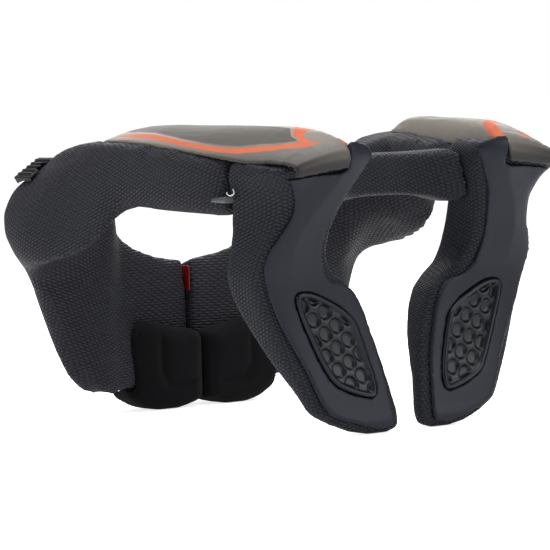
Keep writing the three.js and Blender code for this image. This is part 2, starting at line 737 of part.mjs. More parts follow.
function ventHollows(limit) {
  const hollows = [];
  for (let i = -VENT_GRID_REACH; i <= VENT_GRID_REACH; i += 1) {
    for (let j = -VENT_GRID_REACH; j <= VENT_GRID_REACH; j += 1) {
      const middle = [
        HALF_WIDTH * VENT_GRID_MIDDLE.x
          + VENT_GRID_PITCH * (i * VENT_GRID_DOWN.x + j * VENT_GRID_ACROSS.x),
        BRACE_HEIGHT * VENT_GRID_MIDDLE.z
          + VENT_GRID_PITCH * (i * VENT_GRID_DOWN.z + j * VENT_GRID_ACROSS.z),
      ];
      if (insideOutline(middle, limit)) {
        const ring = roundedSquare(VENT_HOLLOW_SIDES, 1)
          .map((point) => point.map((value, axis) => middle[axis] + value * VENT_HOLLOW_RADIUS));
        hollows.push(levelPrism(ring, PLATE_FRONT, PLATE_BACK));
      }
    }
  }
  return hollows.reduce((all, hollow) => all.add(hollow));
}

const ventOutline = insetOutline(windowOutline, FIT_GAP);
const ventInside = insetOutline(windowOutline, FIT_GAP + VENT_RIM_WIDTH);
const ventInsidePrism = levelPrism(ventInside, PLATE_FRONT, PLATE_BACK);
const ventTop = FIT_GAP + VENT_THICKNESS;
const vent = largest(skin(FIT_GAP, ventTop + VENT_RIM_RISE)
  .intersect(levelPrism(ventOutline, PLATE_FRONT, PLATE_BACK))
  .subtract(skin(ventTop, ventTop + VENT_RIM_RISE * 2).intersect(ventInsidePrism))
  .subtract(skin(ventTop - VENT_HOLLOW_DEPTH, ventTop + VENT_RIM_RISE * 2)
    .intersect(ventInsidePrism)
    .intersect(ventHollows(ventInside))));

const shell = largest(fullShell
  .subtract(levelPrism(insetOutline(plateOutline, -FIT_GAP), PLATE_FRONT, PLATE_BACK)));

// Front latch
const latchSize = [LATCH_WIDTH, LATCH_DEPTH, LATCH_HEIGHT];
const latch = block(latchSize, 0, placed(LATCH_MIDDLE));
const latchSeat = block(latchSize.map((side) => side + 2 * FIT_GAP), 0, placed(LATCH_MIDDLE));

// Ribbed tab
const tabMiddle = placed(TAB_MIDDLE);
const ribPitch = TAB_LENGTH / (TAB_RIB_COUNT + 1);
const tabTilt = THREE.MathUtils.degToRad(TAB_TILT);
let fullTab = block([TAB_LENGTH, TAB_WIDTH, TAB_THICKNESS], TAB_TILT, tabMiddle);
for (let i = 1; i <= TAB_RIB_COUNT; i += 1) {
  const along = i * ribPitch - TAB_LENGTH / 2;
  const above = TAB_THICKNESS / 2;
  fullTab = fullTab.add(block(
    [TAB_RIB_WIDTH, TAB_WIDTH - 2 * TAB_RIB_WIDTH, 2 * TAB_RIB_HEIGHT],
    TAB_TILT,
    [
      tabMiddle[0] + along * Math.cos(tabTilt) + above * Math.sin(tabTilt),
      tabMiddle[1],
      tabMiddle[2] - along * Math.sin(tabTilt) + above * Math.cos(tabTilt),
    ],
  ));
}
const collarSeat = toManifold(grown(collarCore, FIT_GAP));
const tab = largest(fullTab.subtract(collarSeat));
const slit = block([SLIT_DEPTH, SLIT_WIDTH, SLIT_HEIGHT], 0, placed(SLIT_MIDDLE));

// Strap anchor
const anchorCore = loft(ANCHOR_ROWS.map((row) => (
  roundedSquare(ANCHOR_SIDES, ANCHOR_SQUARENESS).map(([u, v]) => [
    HALF_WIDTH * (row.x + (u * row.thick) / 2),
    BRACE_LENGTH * row.y,
    BRACE_HEIGHT * (row.z + (v * row.tall) / 2),
  ])
)));
const anchor = largest(toManifold(anchorCore).subtract(finSeat));

// Chest pad
const padOutline = flatOutline(PAD_OUTLINE);
const padCore = loft(PAD_ROWS.map((row) => (
  insetOutline(padOutline, PAD_EDGE_ROUND * row.inset)
    .map(([x, z]) => [x, BRACE_LENGTH * row.y, z])
)));
const padFace = BRACE_LENGTH * PAD_ROWS[PAD_ROWS.length - 1].y;
const padGroove = levelPrism(flatOutline(PAD_GROOVE_OUTLINE), padFace - PAD_GROOVE_DEPTH, 0);
const pad = largest(toManifold(padCore).subtract(collarSeat).subtract(padGroove));

// Collar half, cut back to leave room for everything that sits in it
const splitPlane = block([BRACE_WIDTH, 2 * BRACE_LENGTH, 2 * BRACE_HEIGHT], 0, [
  (SPLIT_GAP - BRACE_WIDTH) / 2, 0, 0,
]);
const collar = largest(toManifold(collarCore)
  .subtract(finSeat)
  .subtract(shellSeat)
  .subtract(splitPlane)
  .subtract(latchSeat)
  .subtract(slit)
  .subtract(toManifold(grown(anchorCore, FIT_GAP))));

const bridgeSeat = finSeat
  .add(collarSeat)
  .add(shellSeat)
  .add(skin(0, PLATE_THICKNESS + 2 * FIT_GAP)
    .intersect(levelPrism(insetOutline(plateOutline, -FIT_GAP), PLATE_FRONT, PLATE_BACK)));
const bridge = largest(toManifold(bridgeCore).subtract(bridgeSeat).subtract(otherSide(bridgeSeat)));

// Looks
const KNIT = { color: 0x26282d, roughness: 0.9, metalness: 0 };
const PAD_CLOTH = { color: 0x0c0d10, roughness: 0.95, metalness: 0 };
const SHELL_PLASTIC = { color: 0x6f6962, roughness: 0.38, metalness: 0 };
const PLATE_PLASTIC = { color: 0x23262e, roughness: 0.42, metalness: 0 };
const VENT_PLASTIC = { color: 0x1c1e26, roughness: 0.3, metalness: 0 };
const LATCH_PLASTIC = { color: 0xb01212, roughness: 0.4, metalness: 0 };
const TAB_PLASTIC = { color: 0x101114, roughness: 0.5, metalness: 0 };
const ANCHOR_PLASTIC = { color: 0x8b8d92, roughness: 0.35, metalness: 0 };

const pieces = new THREE.Group();
pieces.name = "pieces";

function addPiece(name, manifold, look) {
  const mesh = manifold.getMesh();
  const geometry = new THREE.BufferGeometry();
  geometry.setAttribute("position", new THREE.BufferAttribute(new Float32Array(mesh.vertProperties), 3));
  geometry.setIndex(new THREE.BufferAttribute(new Uint32Array(mesh.triVerts), 1));
  geometry.computeVertexNormals();
  const piece = new THREE.Mesh(geometry, new THREE.MeshStandardMaterial(look));
  piece.name = name;
  pieces.add(piece);
}

const pairs = [
  ["collar", collar, KNIT],
  ["fin", fin, KNIT],
  ["fin_plate", plate, PLATE_PLASTIC],
  ["fin_vent", vent, VENT_PLASTIC],
  ["top_shell", shell, SHELL_PLASTIC],
  ["chest_pad", pad, PAD_CLOTH],
  ["shoulder_tab", tab, TAB_PLASTIC],
  ["strap_anchor", anchor, ANCHOR_PLASTIC],
];
for (const [name, manifold, look] of pairs) {
  addPiece(`${name}_left`, manifold, look);
  addPiece(`${name}_right`, otherSide(manifold), look);
}
addPiece("back_bridge", bridge, KNIT);
addPiece("front_latch", latch, LATCH_PLASTIC);

// Stood on the floor with its middle over the origin
const bounds = new THREE.Box3().setFromObject(pieces);
const middle = bounds.getCenter(new THREE.Vector3());
pieces.position.set(-middle.x, -middle.y, -bounds.min.z);
const group = new THREE.Group();
group.name = "neck_brace";
group.add(pieces);

export default group;
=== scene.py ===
# %% [markdown]
# # A neck brace for off-road riding
# The brace is two padded collar halves that meet at the chest, two padded fins that hang down the
# back, a bridge between the fins, and hard plastic covers on top. This lesson dresses the measured
# solids: soft pieces become rounded foam under knit cloth, and hard pieces become smooth mouldings.

# %% Load the frame
import math

import bmesh
import bpy
import numpy as np
from mathutils import Matrix, Vector
from mathutils.bvhtree import BVHTree


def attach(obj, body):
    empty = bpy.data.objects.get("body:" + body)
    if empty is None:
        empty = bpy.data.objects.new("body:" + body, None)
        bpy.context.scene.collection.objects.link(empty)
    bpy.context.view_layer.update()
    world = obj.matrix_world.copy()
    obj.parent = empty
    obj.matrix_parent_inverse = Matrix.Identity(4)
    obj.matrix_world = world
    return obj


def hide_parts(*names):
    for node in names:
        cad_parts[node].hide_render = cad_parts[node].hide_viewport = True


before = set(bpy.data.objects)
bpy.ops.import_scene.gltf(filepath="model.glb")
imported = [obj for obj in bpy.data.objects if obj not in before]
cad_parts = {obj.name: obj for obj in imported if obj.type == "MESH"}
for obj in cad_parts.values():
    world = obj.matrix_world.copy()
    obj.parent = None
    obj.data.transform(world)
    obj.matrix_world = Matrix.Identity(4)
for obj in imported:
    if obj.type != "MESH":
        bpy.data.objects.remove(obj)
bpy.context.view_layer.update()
scene = bpy.context.scene
MM = 0.001
FAR = 1e9
TINY = 1e-9

# %% [markdown]
# ## The camera
# The brace is seen from behind, on the wearer's left, from just above its own height. A long lens
# two metres away keeps the near and far fins almost the same size, as a catalogue picture does.

# %% Camera
CAMERA_TURN = math.radians(143.502)
CAMERA_RISE = math.radians(3.502)
CAMERA_ROLL = math.radians(1.5554)
CAMERA_AWAY = 2.0
LENS_SHARE = 3000 / 550
AIM_SIDE = -12.209 * MM
AIM_HEIGHT = 95.094 * MM
FLOOR_SHIFT = 0.467 * MM

back = Vector((
    math.sin(CAMERA_TURN) * math.cos(CAMERA_RISE),
    -math.cos(CAMERA_TURN) * math.cos(CAMERA_RISE),
    math.sin(CAMERA_RISE),
))
right = Vector((math.cos(CAMERA_TURN), math.sin(CAMERA_TURN), 0))
up = back.cross(right)
rolled_right = right * math.cos(CAMERA_ROLL) - up * math.sin(CAMERA_ROLL)
rolled_up = right * math.sin(CAMERA_ROLL) + up * math.cos(CAMERA_ROLL)
lens = bpy.data.cameras.new("catalogue_lens")
lens.sensor_width = 36
lens.lens = LENS_SHARE * lens.sensor_width
camera = bpy.data.objects.new("catalogue_camera", lens)
scene.collection.objects.link(camera)
seat = right * AIM_SIDE + Vector((0, FLOOR_SHIFT, AIM_HEIGHT)) + back * CAMERA_AWAY
turned = Matrix((rolled_right, rolled_up, back)).transposed().to_4x4()
camera.matrix_world = Matrix.Translation(seat) @ turned
scene.camera = camera
print("lens", round(lens.lens, 1), "camera at", [round(v, 3) for v in seat])

# %% [markdown]
# ## Light and floor
# The catalogue picture is lit by a wide soft source above the brace, which lays a pale sheen on
# everything that faces up and leaves the upright faces dark. Large area lights do the same, smaller
# ones at the sides and behind draw the edges, and a dim sky fills the shadows.

# %% Light and floor
def soft_light(name, place, aim, size, power):
    data = bpy.data.lights.new(name, "AREA")
    data.shape = "RECTANGLE"
    data.size, data.size_y = size
    data.energy = power
    lamp = bpy.data.objects.new(name, data)
    scene.collection.objects.link(lamp)
    lamp.location = place
    lamp.rotation_euler = (Vector(aim) - Vector(place)).to_track_quat("-Z", "Y").to_euler()
    return lamp


AIM = (0, 0, 0.12)
soft_light("overhead", (0.1, 0.1, 1.4), AIM, (1.7, 1.3), 26)
soft_light("from_the_right", (-1.1, 1.7, 0.7), AIM, (0.7, 0.9), 9)
soft_light("from_the_left", (1.8, 0.1, 0.9), AIM, (0.6, 0.8), 9)
soft_light("from_behind", (-0.9, -1.2, 0.95), AIM, (1.4, 0.5), 8)

# The camera sees a white backdrop, while the brace is filled by a dimmer sky.
world = bpy.data.worlds.new("studio")
scene.world = world
world.use_nodes = True
sky_tree = world.node_tree
fill = sky_tree.nodes["Background"]
fill.inputs["Color"].default_value = (1, 1, 1, 1)
fill.inputs["Strength"].default_value = 0.3
backdrop = sky_tree.nodes.new("ShaderNodeBackground")
backdrop.inputs["Color"].default_value = (1, 1, 1, 1)
seen = sky_tree.nodes.new("ShaderNodeLightPath")
either = sky_tree.nodes.new("ShaderNodeMixShader")
sky_tree.links.new(seen.outputs["Is Camera Ray"], either.inputs[0])
sky_tree.links.new(fill.outputs[0], either.inputs[1])
sky_tree.links.new(backdrop.outputs[0], either.inputs[2])
sky_tree.links.new(either.outputs[0], sky_tree.nodes["World Output"].inputs["Surface"])
scene.view_settings.view_transform = "Standard"

floor_mesh = bpy.data.meshes.new("studio_floor")
bm = bmesh.new()
bmesh.ops.create_grid(bm, x_segments=1, y_segments=1, size=40)
bm.to_mesh(floor_mesh)
bm.free()
studio_floor = bpy.data.objects.new("studio_floor", floor_mesh)
scene.collection.objects.link(studio_floor)
pale = bpy.data.materials.new("studio_floor")
pale.use_nodes = True
pale_shader = pale.node_tree.nodes["Principled BSDF"]
pale_shader.inputs["Base Color"].default_value = (0.88, 0.88, 0.88, 1)
pale_shader.inputs["Roughness"].default_value = 1
pale_shader.inputs["Specular IOR Level"].default_value = 0
pale_shader.inputs["Emission Color"].default_value = (1, 1, 1, 1)
pale_shader.inputs["Emission Strength"].default_value = 0.78

# The floor is white to the camera and dimmer as a light, so the undersides stay dark.
floor_tree = pale.node_tree
floor_seen = floor_tree.nodes.new("ShaderNodeLightPath")
glow = floor_tree.nodes.new("ShaderNodeMix")
glow.data_type = "RGBA"
glow.inputs[6].default_value = (0.2, 0.2, 0.2, 1)
glow.inputs[7].default_value = (1, 1, 1, 1)
floor_tree.links.new(floor_seen.outputs["Is Camera Ray"], glow.inputs["Factor"])
floor_tree.links.new(glow.outputs[2], pale_shader.inputs["Emission Color"])
floor_mesh.materials.append(pale)
print("lights", len(bpy.data.lights))

# %% [markdown]
# ## Writing finishes as sums
# A finish is a set of numbers that change over the surface. One small class wraps a socket, so a
# pattern can be written as an ordinary sum and each sign adds its own node.

# %% A class for finish maths
class Wire:
    def __init__(self, tree, socket):
        self.tree = tree
        self.socket = socket

    def node(self, kind, settings=None, inputs=None, output=0):
        made = self.tree.nodes.new(kind)
        for name, value in (settings or {}).items():
            setattr(made, name, value)
        for name, value in (inputs or {}).items():
            self.plug(made.inputs[name], value)
        return Wire(self.tree, made.outputs[output])

    def plug(self, socket, value):
        if isinstance(value, Wire):
            self.tree.links.new(value.socket, socket)
        else:
            socket.default_value = value

    def math(self, operation, *values):
        return self.node("ShaderNodeMath", {"operation": operation}, dict(enumerate(values)))

    def __add__(self, other):
        return self.math("ADD", self, other)

    __radd__ = __add__

    def __mul__(self, other):
        return self.math("MULTIPLY", self, other)

    __rmul__ = __mul__

    def __sub__(self, other):
        return self.math("SUBTRACT", self, other)

    def __rsub__(self, other):
        return self.math("SUBTRACT", other, self)

    def __truediv__(self, other):
        return self.math("DIVIDE", self, other)

    def __pow__(self, other):
        return self.math("POWER", self, other)

    def most(self, other):
        return self.math("MAXIMUM", self, other)

    def size(self):
        return self.math("ABSOLUTE", self)

    def whole(self):
        return self.math("FLOOR", self)

    def part(self):
        return self.math("FRACT", self)

    def step(self, start, end):
        return self.node(
            "ShaderNodeMapRange", {"interpolation_type": "SMOOTHSTEP", "clamp": True},
            {"Value": self, "From Min": start, "From Max": end},
        )

    def mix(self, low, high):
        made = self.tree.nodes.new("ShaderNodeMix")
        made.data_type = "RGBA"
        self.plug(made.inputs["Factor"], self)
        self.plug(made.inputs[6], low)
        self.plug(made.inputs[7], high)
        return Wire(self.tree, made.outputs[2])


class Finish:
    """A material with one Principled shader, and the wires that a pattern starts from."""

    def __init__(self, name, **constants):
        self.material = bpy.data.materials.new(name)
        self.material.use_nodes = True
        self.tree = self.material.node_tree
        self.shader = self.tree.nodes["Principled BSDF"]
        start = Wire(self.tree, None)
        self.node = start.node
        for socket, value in constants.items():
            self.shader.inputs[socket.replace("_", " ")].default_value = value
        place = self.node("ShaderNodeTexCoord", output=3)
        split = self.tree.nodes.new("ShaderNodeSeparateXYZ")
        self.tree.links.new(place.socket, split.inputs[0])
        self.place = place
        self.x, self.y, self.z = (Wire(self.tree, out) * 1000 for out in split.outputs)
        facing = self.tree.nodes.new("ShaderNodeNewGeometry")
        turn = self.tree.nodes.new("ShaderNodeSeparateXYZ")
        self.tree.links.new(facing.outputs["Normal"], turn.inputs[0])
        self.facing = [Wire(self.tree, out) for out in turn.outputs]

    def noise(self, scale, detail=2.0, roughness=0.5):
        return self.node("ShaderNodeTexNoise", {}, {
            "Vector": self.place, "Scale": scale, "Detail": detail, "Roughness": roughness,
        })

    def mark(self, name):
        return self.node("ShaderNodeAttribute", {"attribute_name": name}, output=2)

    def paint(self, socket, value):
        self.place.plug(self.shader.inputs[socket], value)

    def relief(self, height, strength, distance):
        bump = self.node("ShaderNodeBump", {}, {
            "Height": height, "Strength": strength, "Distance": distance,
        })
        self.paint("Normal", bump)

    def put_on(self, piece):
        piece.data.materials.clear()
        piece.data.materials.append(self.material)


print("finish maths ready")

# %% [markdown]
# ## Shape tools
# Foam under knit has no sharp edge anywhere. A copy of the measured solid is re-skinned with even
# squares and relaxed, which rounds each edge. The right-hand pieces are mirrored from the left ones.

# %% Copying, re-skinning and relaxing
def copy_of_solid(node, name):
    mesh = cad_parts[node].data.copy()
    mesh.materials.clear()
    bm = bmesh.new()
    bm.from_mesh(mesh)
    bmesh.ops.remove_doubles(bm, verts=bm.verts, dist=0.00001)
    bm.to_mesh(mesh)
    bm.free()
    piece = bpy.data.objects.new(name, mesh)
    scene.collection.objects.link(piece)
    return piece


def settle(piece):
    graph = bpy.context.evaluated_depsgraph_get()
    mesh = bpy.data.meshes.new_from_object(piece.evaluated_get(graph))
    piece.modifiers.clear()
    piece.data = mesh
    mesh.name = piece.name
    mesh.shade_smooth()


def reskin(piece, square):
    skin = piece.modifiers.new("skin", "REMESH")
    skin.mode = "VOXEL"
    skin.voxel_size = square
    settle(piece)


def relax(piece, times, factor=0.5):
    ease = piece.modifiers.new("ease", "SMOOTH")
    ease.factor = factor
    ease.iterations = times
    settle(piece)


def finer(piece):
    bm = bmesh.new()
    bm.from_mesh(piece.data)
    bmesh.ops.subdivide_edges(bm, edges=bm.edges, cuts=1, use_grid_fill=True, smooth=0.0)
    bm.to_mesh(piece.data)
    bm.free()
    piece.data.shade_smooth()
    relax(piece, 1)


def points_of(piece):
    places = np.zeros(len(piece.data.vertices) * 3, np.float32)
    piece.data.vertices.foreach_get("co", places)
    return places.reshape(-1, 3).astype(float)


def place_points(piece, places):
    piece.data.vertices.foreach_set("co", places.astype(np.float32).ravel())
    piece.data.update()


def mirrored_piece(piece, name):
    mesh = piece.data.copy()
    mesh.name = name
    bm = bmesh.new()
    bm.from_mesh(mesh)
    bmesh.ops.scale(bm, vec=(-1, 1, 1), verts=bm.verts)
    bmesh.ops.reverse_faces(bm, faces=bm.faces)
    bm.to_mesh(mesh)
    bm.free()
    twin = bpy.data.objects.new(name, mesh)
    scene.collection.objects.link(twin)
    return twin


def smooth_row(rows, place):
    """The row at a fractional place, on a smooth curve through the rows."""
    last = len(rows) - 1
    k = min(int(place), last - 1)
    t = place - k
    a, b, c, d = (np.array(rows[min(max(n, 0), last)], float) for n in (k - 1, k, k + 1, k + 2))
    pull = 0.5 * (c - a)
    push = 0.5 * (d - b)
    return (b * (2 * t**3 - 3 * t**2 + 1) + pull * (t**3 - 2 * t**2 + t)
            + c * (3 * t**2 - 2 * t**3) + push * (t**3 - t**2))


print("shape tools ready")

# %% [markdown]
# ## Air in the foam
# Padded cloth swells a little between its seams. A short cloth simulation with a little pressure and
# no gravity does this, and each point may move only about a millimetre, because the real foam holds
# its shape.

# %% Puffing a padded piece
def puff(piece, pressure=3.0, most=1.6, frames=14):
    before = points_of(piece)
    cloth = piece.modifiers.new("air", "CLOTH")
    cloth.settings.use_pressure = True
    cloth.settings.uniform_pressure_force = pressure
    cloth.settings.effector_weights.gravity = 0
    cloth.settings.quality = 4
    cloth.collision_settings.use_collision = False
    cloth.point_cache.frame_start = 1
    cloth.point_cache.frame_end = frames
    for number in range(1, frames + 1):
        scene.frame_set(number)
    settle(piece)
    moved = points_of(piece) - before
    far = np.linalg.norm(moved, axis=1, keepdims=True)
    capped = moved * np.minimum(1, most * MM / np.maximum(far, TINY))
    place_points(piece, before + capped)
    scene.frame_set(1)
    print(piece.name, "moved up to", round(float(far.max()) * 1000, 1), "mm before the cap")


# %% [markdown]
# ## Smooth reference surfaces
# The measured solids have flat facets. The hard covers are glossy enough to show them, so plates and
# vents are laid on a smooth surface through the sections of the fin, and the shells are carried over
# to one through their own sections. Outlines are drawn in plan and measured with a signed distance.

# %% Sections of a fin and of a top shell
FIN_SECTIONS = [
    (0, 120, 15, 35, 112, 16.5, 37, 0.7),
    (2.5, 121.5, 9, 46, 109, 10.5, 48, 0.45),
    (8, 121.5, 7.5, 60, 107, 9, 62, 0.38),
    (15, 120, 8.5, 72.5, 105, 10, 75, 0.34),
    (28, 117.5, 11, 80, 102, 12.5, 82, 0.32),
    (45, 114.2, 14.2, 89.5, 94, 16, 92, 0.32),
    (60, 112.3, 18.3, 96, 86.5, 20, 99, 0.32),
    (75, 110.8, 24, 102, 80.5, 26, 106, 0.32),
    (88, 110.2, 30, 107.5, 77.5, 33, 111.5, 0.32),
    (96, 110.3, 38, 110.5, 76.5, 42, 114, 0.32),
    (104, 111.7, 51, 112, 77, 52, 116, 0.32),
    (116, 115.4, 57.5, 110, 80, 55, 116, 0.34),
    (130, 120.7, 58, 104, 84, 56, 117, 0.34),
    (145, 128.2, 54, 99, 88, 56, 120, 0.34),
    (158, 134.7, 48, 105, 90, 55, 123, 0.34),
    (168, 140, 43.5, 119, 91, 54, 123.5, 0.32),
    (176, 143.3, 40, 117, 92.5, 54, 121.5, 0.34),
    (182, 143, 42, 108, 93, 56, 115, 0.4),
    (187, 139, 49, 98, 94, 61, 106, 0.46),
    (191, 131, 58, 90, 96, 66, 97, 0.5),
    (194, 121, 66, 83, 100, 71, 90, 0.6),
]
SHELL_SECTIONS = [
    (-41, 118, 187.5, 120, 188.5, 121.8, 188),
    (-33, 112.5, 187, 118, 190.5, 125.5, 188),
    (-20, 106, 186.5, 113, 194.5, 128.5, 188),
    (-5, 101.5, 185, 107.5, 197, 130, 188),
    (15, 96, 183, 103, 197.8, 130.5, 187),
    (38, 89, 181, 96.5, 197.2, 129.5, 185),
    (62, 82, 180, 91, 196.8, 127, 181.5),
    (85, 76, 180, 85.5, 196.2, 123.3, 178.3),
    (108, 69, 181, 78.5, 195.3, 120, 175.3),
    (125, 63, 180, 72.5, 192.5, 117.5, 173),
    (137, 57.5, 178, 67, 187.5, 115.5, 171.5),
    (145, 53.5, 174.5, 63, 181.5, 114.5, 170),
    (147.5, 54, 169.5, 62.5, 175.8, 112, 167.2),
    (146.6, 56, 165.5, 64, 169.4, 107, 164),
]


def squared_ring(count, squareness):
    angles = (np.arange(count) + 0.5) / count * 2 * np.pi
    u, v = np.cos(angles), np.sin(angles)
    return np.stack([np.sign(u) * abs(u) ** squareness, np.sign(v) * abs(v) ** squareness], 1)


def fin_ring(row, count):
    z, back_y, back_in, back_out, front_y, front_in, front_out, squareness = row
    ring = squared_ring(count, squareness)
    share = (ring[:, 1] + 1) / 2
    inner = front_in + (back_in - front_in) * share
    outer = front_out + (back_out - front_out) * share
    x = inner + (outer - inner) * (ring[:, 0] + 1) / 2
    y = front_y + (back_y - front_y) * share
    return np.stack([x, y, np.full(count, z)], 1)


def shell_line(row, count):
    y, in_x, in_z, top_x, top_z, out_x, out_z = row
    place = np.arange(count) / (count - 1) * 3 - 1
    rise = np.minimum(place, 0)
    fall = np.maximum(place, 0) / 2
    x = top_x + rise * (top_x - in_x) + fall * (out_x - top_x)
    z = top_z - rise * rise * (top_z - in_z) - fall**1.6 * (top_z - out_z)
    return np.stack([x, np.full(count, y), z], 1)


def surface_through(rings, closed):
    """Faces between neighbouring rings, as a tree that finds the nearest point."""
    rows, count = len(rings), len(rings[0])
    corners = np.concatenate(rings) * MM + np.array([0, FLOOR_SHIFT, 0])
    faces = []
    for i in range(rows - 1):
        for j in range(count if closed else count - 1):
            k = (j + 1) % count
            faces.append((i * count + j, i * count + k, (i + 1) * count + k, (i + 1) * count + j))
    return BVHTree.FromPolygons([Vector(c) for c in corners], faces)


def fine_rows(rows, steps):
    return [smooth_row(rows, i / steps) for i in range((len(rows) - 1) * steps + 1)]


def gap_to_line(places, line):
    """Distance to an open line of points."""
    best = np.full(len(places), FAR)
    for start, end in zip(line[:-1], line[1:]):
        run = end - start
        share = np.clip(((places - start) @ run) / (run @ run), 0, 1)
        near = start + share[:, None] * run
        best = np.minimum(best, np.linalg.norm(places - near, axis=1))
    return best


def nearest_on_outline(plan, outline):
    """Distance in mm to a closed outline, below zero inside it, and the nearest point on it."""
    corners = np.array(outline, float)
    gap = np.full(len(plan), FAR)
    near = np.zeros((len(plan), 2))
    inside = np.zeros(len(plan), bool)
    for start, end in zip(corners, np.roll(corners, -1, axis=0)):
        run = end - start
        share = np.clip(((plan - start) @ run) / max(run @ run, TINY), 0, 1)
        point = start + share[:, None] * run
        away = np.linalg.norm(plan - point, axis=1)
        closer = away < gap
        gap[closer], near[closer] = away[closer], point[closer]
        above = (start[1] > plan[:, 1]) != (end[1] > plan[:, 1])
        if end[1] != start[1]:
            inside ^= above & (plan[:, 0] < start[0] + run[0] * (plan[:, 1] - start[1]) / run[1])
    return np.where(inside, -gap, gap), near


def gap_to_outline(plan, outline):
    return nearest_on_outline(plan, outline)[0]


def rounded_outline(corners, steps=4):
    """A smooth closed curve through the corners."""
    rows = corners[-1:] + corners + corners[:2]
    return [tuple(smooth_row(rows, 1 + i / steps)) for i in range(len(corners) * steps)]


def smooth_step(value, start, end):
    share = np.clip((value - start) / (end - start), 0, 1)
    return share * share * (3 - 2 * share)


fin_smooth = surface_through([fin_ring(r, 72) for r in fine_rows(FIN_SECTIONS, 6)], True)
shell_facets = surface_through([shell_line(r, 9) for r in SHELL_SECTIONS], False)
shell_smooth = surface_through([shell_line(r, 40) for r in fine_rows(SHELL_SECTIONS, 8)], False)


def carry_over(piece, facets, smooth):
    moved = []
    for place in points_of(piece):
        here = Vector(place)
        flat, flat_way, _, _ = facets.find_nearest(here)
        height = (here - flat).dot(flat_way)
        rest, rest_way, _, _ = smooth.find_nearest(here - flat_way * height)
        if rest_way.dot(flat_way) < 0:
            rest_way = -rest_way
        sideways = (here - flat) - flat_way * height
        moved.append(rest + rest_way * height + sideways)
    place_points(piece, np.array([tuple(p) for p in moved]))


print("reference surfaces ready")

# %% [markdown]
# ## Knit cloth
# The cover is a coarse knit: rows of small oval cells with raised lips, each row set off by half a
# cell. The same pattern is laid from three sides and each face takes the side that it looks to. On
# the chest panels the cells stretch into level ribs.

# %% Knit finish
KNIT_TURN = 24
SIDE_POWER = 7
RIB_WIDE, RIB_TALL = 6.4, 1.9
CHEST_SIDE = (82, 76)
CHEST_DEPTH = (-84, -92)
CHEST_TOP = (132, 124)


def cells(u, v, wide, tall):
    row = (v / tall).whole()
    shift = row * 0.5
    across = ((u / wide + shift).part() - 0.5) * 2
    down = ((v / tall).part() - 0.5) * 2
    return (1 - (across * across + down * down) * 0.62).most(0)


def turned_pair(u, v, degrees):
    c, s = math.cos(math.radians(degrees)), math.sin(math.radians(degrees))
    return u * c + v * s, v * c - u * s


def three_sides(finish, pattern):
    weights = [way.size() ** SIDE_POWER for way in finish.facing]
    total = weights[0] + weights[1] + weights[2]
    sides = [
        pattern(*turned_pair(finish.y, finish.z, KNIT_TURN)),
        pattern(*turned_pair(finish.x, finish.z, KNIT_TURN)),
        pattern(*turned_pair(finish.x, finish.y, KNIT_TURN)),
    ]
    mixed = sides[0] * weights[0] + sides[1] * weights[1] + sides[2] * weights[2]
    return mixed / total


def knit_finish(name, low, high, wide, tall, depth, ribs=False):
    finish = Finish(name, Sheen_Weight=0.03, Sheen_Roughness=0.4, Specular_IOR_Level=0.25)
    cell = three_sides(finish, lambda u, v: cells(u, v, wide, tall))
    if ribs:
        on_chest = finish.x.size().step(*CHEST_SIDE) * finish.y.step(*CHEST_DEPTH)
        on_chest = on_chest * finish.z.step(*CHEST_TOP)
        row = cells(finish.x, finish.z, RIB_WIDE, RIB_TALL)
        cell = cell + (row - cell) * on_chest
    cloud = finish.noise(14, 3)
    fibre = finish.noise(900, 2)
    # The cell pattern also paints the colour: a painted highlight on each raised lip and painted
    # shade between the cells, mixed with a random tone from the noise.
    painted_lip_light_and_tone = (cell * 0.8 + cloud * 0.2 + fibre * 0.12).step(0.3, 1.0)
    finish.paint("Base Color", painted_lip_light_and_tone.mix(low, high))
    finish.paint("Roughness", 0.75 - cell * 0.3)
    finish.relief(cell + fibre * 0.12, 1.0, depth * MM)
    return finish


# Colours of the painted shade between the cells and of the painted highlight on the lips.
KNIT_GROOVE_SHADE = (0.0015, 0.0015, 0.003, 1)
KNIT_LIP_HIGHLIGHT = (0.021, 0.022, 0.032, 1)
FIN_KNIT_LIP_HIGHLIGHT = (0.016, 0.018, 0.028, 1)
arm_knit = knit_finish("arm_knit", KNIT_GROOVE_SHADE, KNIT_LIP_HIGHLIGHT, 3.8, 1.9, 0.75, ribs=True)
fin_knit = knit_finish("fin_knit", KNIT_GROOVE_SHADE, FIN_KNIT_LIP_HIGHLIGHT, 3.6, 1.9, 0.65)
print("knit ready")

# %% [markdown]
# ## The collar halves
# Each half is one curved block of foam: an arm over the shoulder, a broad lobe in front of the
# shoulder and a chest panel. The copy of the solid is re-skinned, relaxed and given a little air.

# %% Collar halves
ROOT = "root"


def wear(piece, finish, slot, *nodes):
    finish.put_on(piece)
    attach(piece, ROOT)
    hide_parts(*nodes)


def soft_piece(node, name, square=3.2, ease=8, air=1.2):
    piece = copy_of_solid(node, name)
    reskin(piece, square * MM)
    relax(piece, ease)
    if air:
        puff(piece, most=air)
    relax(piece, 2)
    finer(piece)
    return piece


collar_left = soft_piece("collar_left", "padded_collar_left", 3.0, 16)
collar_right = mirrored_piece(collar_left, "padded_collar_right")
wear(collar_left, arm_knit, "knit", "collar_left")
wear(collar_right, arm_knit, "knit", "collar_right")
print("collar half", len(collar_left.data.polygons), "faces")

# %% [markdown]
# ## Fins and bridge
# The fins are foam too, under a slightly darker knit. They get no air, because the vents lie close
# on them. The bridge joins them behind the neck.

